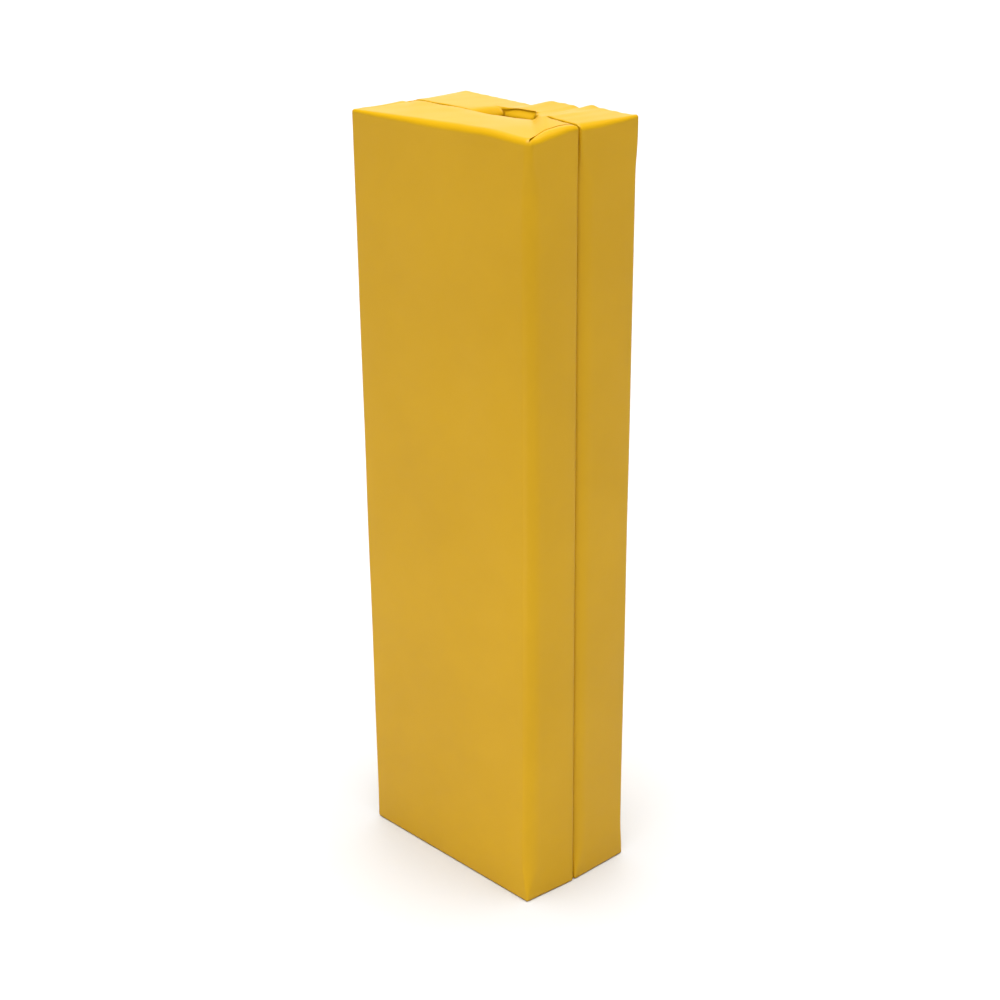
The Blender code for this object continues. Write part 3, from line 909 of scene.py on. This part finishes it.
def tape_material(name, scale, depth, roughness):
    """Tape whose face looks full of small hooks or loops."""
    material, nodes, links, shader, place = new_material(name)
    tufts = cells(nodes, links, place, scale)
    deep = darker(TAPE_YELLOW, 0.62)
    colour = colour_between(nodes, links, tufts, TAPE_YELLOW, deep, low=0.2, high=0.8)
    links.new(colour, shader.inputs["Base Color"])
    fuzz = noise(nodes, links, place, scale / 2, detail=5.0)
    gloss = spread(nodes, links, fuzz, roughness - 0.06, roughness + 0.06)
    links.new(gloss, shader.inputs["Roughness"])
    shader.inputs["Sheen Weight"].default_value = 0.3
    tufted = bump(nodes, links, tufts, strength=0.9, distance=depth)
    normal = bump(nodes, links, fuzz, strength=0.4, distance=depth, normal=tufted)
    links.new(normal, shader.inputs["Normal"])
    return material


def thread_material():
    """Twisted polyester sewing thread."""
    material, nodes, links, shader, place = new_material("yellow_thread")
    texture = nodes.new("ShaderNodeTexWave")
    texture.bands_direction = "DIAGONAL"
    texture.inputs["Scale"].default_value = 500.0
    links.new(place, texture.inputs["Vector"])
    twist = texture.outputs["Fac"]
    colour = colour_between(nodes, links, twist, darker(THREAD_YELLOW, 0.75), THREAD_YELLOW)
    links.new(colour, shader.inputs["Base Color"])
    links.new(spread(nodes, links, twist, low=0.5, high=0.65), shader.inputs["Roughness"])
    links.new(bump(nodes, links, twist, strength=0.5, distance=0.2 * MM), shader.inputs["Normal"])
    return material


def floor_material():
    """A matt pale floor."""
    material = bpy.data.materials.new("pale_floor")
    material.use_nodes = True
    shader = material.node_tree.nodes["Principled BSDF"]
    shader.inputs["Base Color"].default_value = (*FLOOR_WHITE, 1.0)
    shader.inputs["Roughness"].default_value = 0.9
    shader.inputs["Specular IOR Level"].default_value = 0.1
    return material


# ---------------------------------------------------------------- stage, light and camera

CAMERA_TARGET = Vector((0.0093, 0.0, 0.4742))
CAMERA_AZIMUTH = math.radians(46.41)
CAMERA_ELEVATION = math.radians(22.34)
CAMERA_ROLL = math.radians(-0.414)
CAMERA_DISTANCE = 2.3670
CAMERA_LENS = 60.57
CAMERA_SENSOR = 36.0
CAMERA_SHIFT = 0.045

# The studio's walls glow near the horizon and are dim above.
WALL_GLOW = 1.0
CEILING_GLOW = 0.06
GLOW_SPAN = (math.radians(2.5), math.radians(7.0))
# Sun lamps: (name, strength, apparent size, azimuth, elevation). The last two say where the light
# comes from, and all three angles are in degrees.
SUNS = (
    ("overhead", 5.4, 44.0, 46.0, 88.0),
    ("behind", 0.44, 40.0, 226.0, 18.0),
)
SUN_DISTANCE = 3.0                  # only for show: a sun lamp shines alike from any distance
CARD_POWER = 2.9                    # watts
CARD_SIZE = (0.8, 0.3)
CARD_AZIMUTH = math.radians(25.0)
CARD_DISTANCE = 1.3
CARD_HEIGHT = 0.15
FLOOR_HALF = 40.0                   # half the floor's side
FLOOR_DROP = 0.3 * MM               # keeps the floor clear of the base


def add_floor():
    """A wide square floor just below the base."""
    half = FLOOR_HALF
    corners = [(-half, -half, 0), (half, -half, 0), (half, half, 0), (-half, half, 0)]
    mesh = bpy.data.meshes.new("floor")
    mesh.from_pydata(corners, [], [(0, 1, 2, 3)])
    floor = mesh_object("floor", mesh, floor_material())
    floor.location.z = -FLOOR_DROP


def studio_world():
    """Pale walls round the horizon that fade into a dim ceiling."""
    world = bpy.data.worlds.new("studio")
    world.use_nodes = True
    nodes, links = world.node_tree.nodes, world.node_tree.links
    split = nodes.new("ShaderNodeSeparateXYZ")
    links.new(nodes.new("ShaderNodeTexCoord").outputs["Generated"], split.inputs["Vector"])
    glow = nodes.new("ShaderNodeMapRange")
    glow.interpolation_type = "SMOOTHSTEP"
    glow.inputs["From Min"].default_value = math.sin(GLOW_SPAN[0])
    glow.inputs["From Max"].default_value = math.sin(GLOW_SPAN[1])
    glow.inputs["To Min"].default_value = WALL_GLOW
    glow.inputs["To Max"].default_value = CEILING_GLOW
    links.new(split.outputs["Z"], glow.inputs["Value"])
    links.new(glow.outputs["Result"], nodes["Background"].inputs["Strength"])
    nodes["Background"].inputs["Color"].default_value = (1.0, 1.0, 1.0, 1.0)
    bpy.context.scene.world = world


def direction(azimuth, elevation):
    """The way out from the object. Azimuth 0 is in front (-Y) and 90 degrees to the right (+X)."""
    flat = math.cos(elevation)
    return Vector((math.sin(azimuth) * flat, -math.cos(azimuth) * flat, math.sin(elevation)))


def place_lamp(name, light, towards, distance, height):
    """A lamp out in a direction, turned to shine back along it."""
    lamp = bpy.data.objects.new(name, light)
    lamp.rotation_euler = towards.to_track_quat("Z", "Y").to_euler()
    lamp.location = towards * distance + Vector((0.0, 0.0, height))
    bpy.context.scene.collection.objects.link(lamp)


def add_light():
    """The glowing walls, the two suns and a low card that lights the front."""
    studio_world()
    for name, strength, size, azimuth, elevation in SUNS:
        sun = bpy.data.lights.new(name, "SUN")
        sun.energy = strength
        sun.angle = math.radians(size)
        towards = direction(math.radians(azimuth), math.radians(elevation))
        place_lamp(name, sun, towards, SUN_DISTANCE, 0.0)
    card = bpy.data.lights.new("low_card", "AREA")
    card.shape = "RECTANGLE"
    card.size, card.size_y = CARD_SIZE
    card.energy = CARD_POWER
    place_lamp("low_card", card, direction(CARD_AZIMUTH, 0.0), CARD_DISTANCE, CARD_HEIGHT)


def add_camera():
    """The photo's camera, fitted to the object's straight edges."""
    back = direction(CAMERA_AZIMUTH, CAMERA_ELEVATION)
    right = (-back).cross(Vector((0.0, 0.0, 1.0))).normalized()
    up = right.cross(-back)
    turned_right = right * math.cos(CAMERA_ROLL) + up * math.sin(CAMERA_ROLL)
    turned_up = up * math.cos(CAMERA_ROLL) - right * math.sin(CAMERA_ROLL)
    data = bpy.data.cameras.new("camera")
    data.lens = CAMERA_LENS
    data.sensor_width = CAMERA_SENSOR
    data.shift_y = CAMERA_SHIFT
    camera = bpy.data.objects.new("camera", data)
    axes = Matrix((turned_right, turned_up, back)).transposed().to_4x4()
    camera.matrix_world = Matrix.Translation(CAMERA_TARGET + back * CAMERA_DISTANCE) @ axes
    bpy.context.scene.collection.objects.link(camera)
    bpy.context.scene.camera = camera


# ---------------------------------------------------------------- assembly

def build():
    """The whole object, its stage, light and camera."""
    bpy.context.scene.view_settings.view_transform = "Standard"
    vinyl = vinyl_material()
    thread = thread_material()
    foam_pieces(foam_material())
    front_pieces(vinyl)
    rear_pieces(vinyl)
    hooks = tape_material("hook_face", scale=900.0, depth=0.6 * MM, roughness=0.80)
    loops = tape_material("loop_face", scale=600.0, depth=0.8 * MM, roughness=0.90)
    tape("hook_tape", "rear_half", -1, hooks, thread)
    tape("loop_tape", "front_half", 1, loops, thread)
    hinge_strip(vinyl, thread)
    add_floor()
    add_light()
    add_camera()


build()
